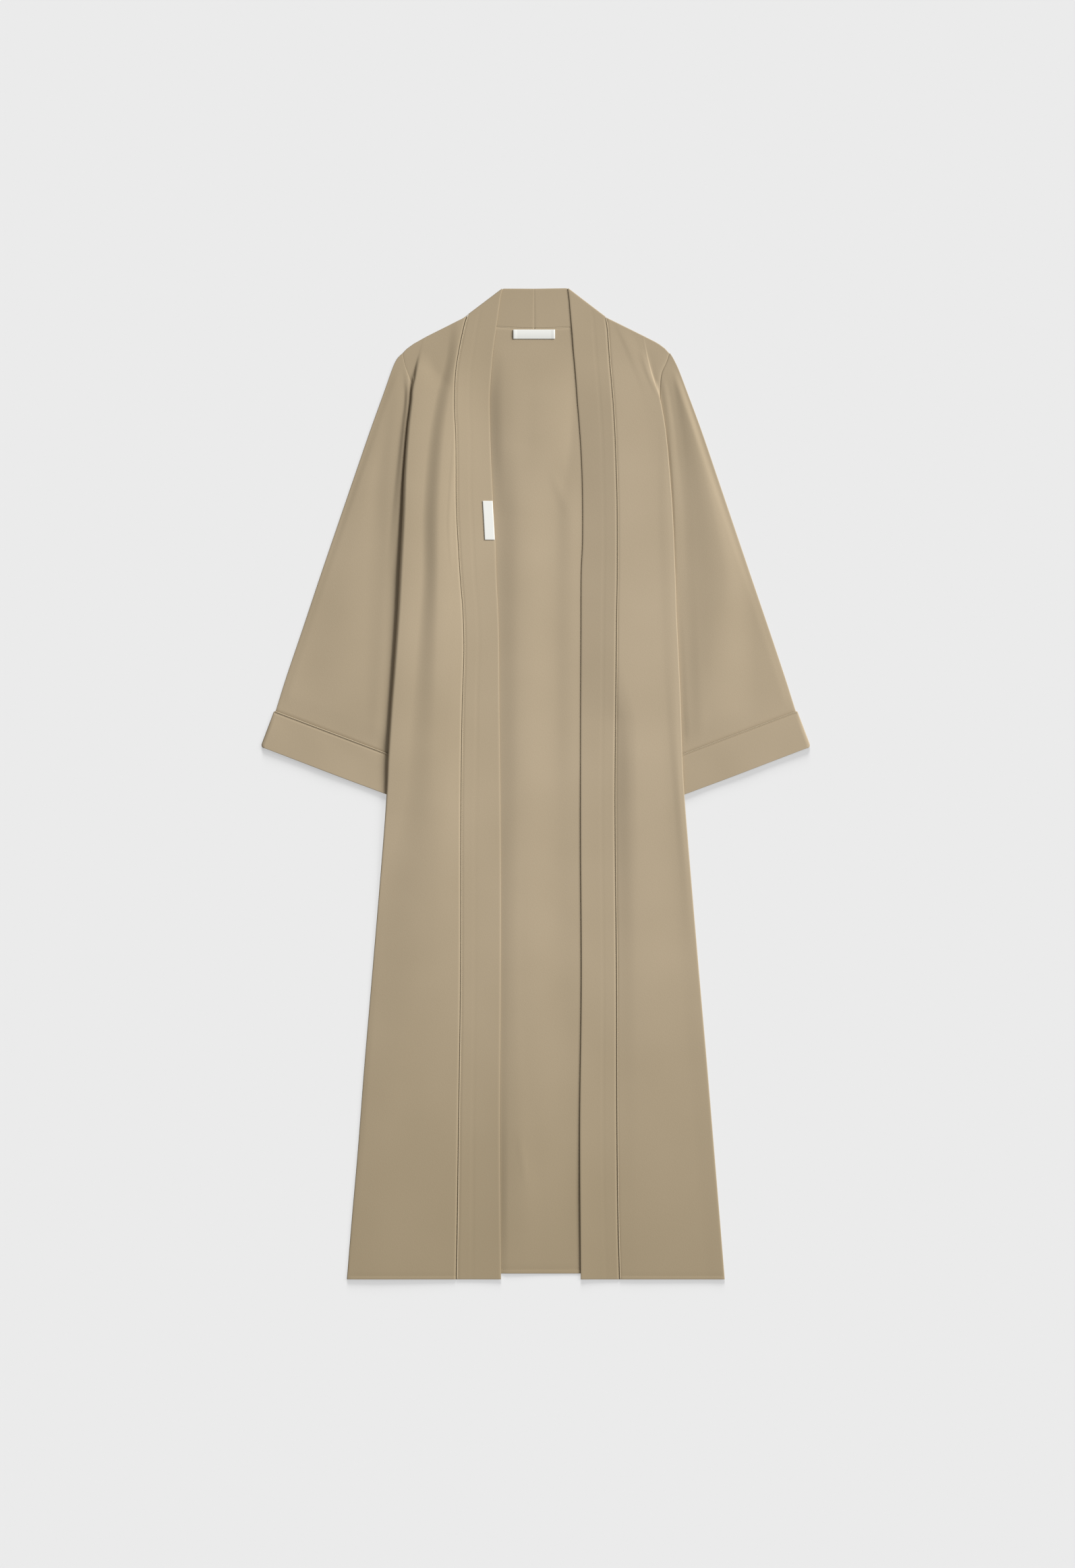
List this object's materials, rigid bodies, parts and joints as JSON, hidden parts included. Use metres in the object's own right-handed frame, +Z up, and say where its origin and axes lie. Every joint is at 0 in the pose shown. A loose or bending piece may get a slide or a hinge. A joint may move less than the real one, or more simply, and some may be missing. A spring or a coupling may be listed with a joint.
{
  "type": "abaya cloak",
  "caption": "Open-fronted, ankle-length cloak with wide cuffed sleeves and a continuous piped front band and collar, laid flat.",
  "frame": {"origin": "on the resting surface, under the middle of the cloak's bounding box", "axes": "+X towards the wearer's left, +Y from hem to neck, +Z up from the surface, through the back and then the fronts"},
  "size_m": [0.8126, 1.469, 0.0133],
  "materials": {
    "cloth": "sand-coloured polyester crepe, fine even grain, matt with a soft sheen along folds",
    "doubled_cloth": "the same crepe, folded double and pressed, topstitched along its edges",
    "piping": "the same crepe wrapped round a thin cord",
    "label": "off-white woven ribbon with no lettering"
  },
  "bodies": {
    "root": {"back_panel": "cloth", "front_panel_right": "cloth", "front_panel_left": "cloth", "sleeve_right": "cloth", "sleeve_left": "cloth", "cuff_right": "doubled_cloth", "cuff_left": "doubled_cloth", "band_right": "doubled_cloth", "band_left": "doubled_cloth", "band_piping_right": "piping", "band_piping_left": "piping", "cuff_piping_right": "piping", "cuff_piping_left": "piping", "neck_label": "label", "side_label": "label"}
  },
  "joints": []
}
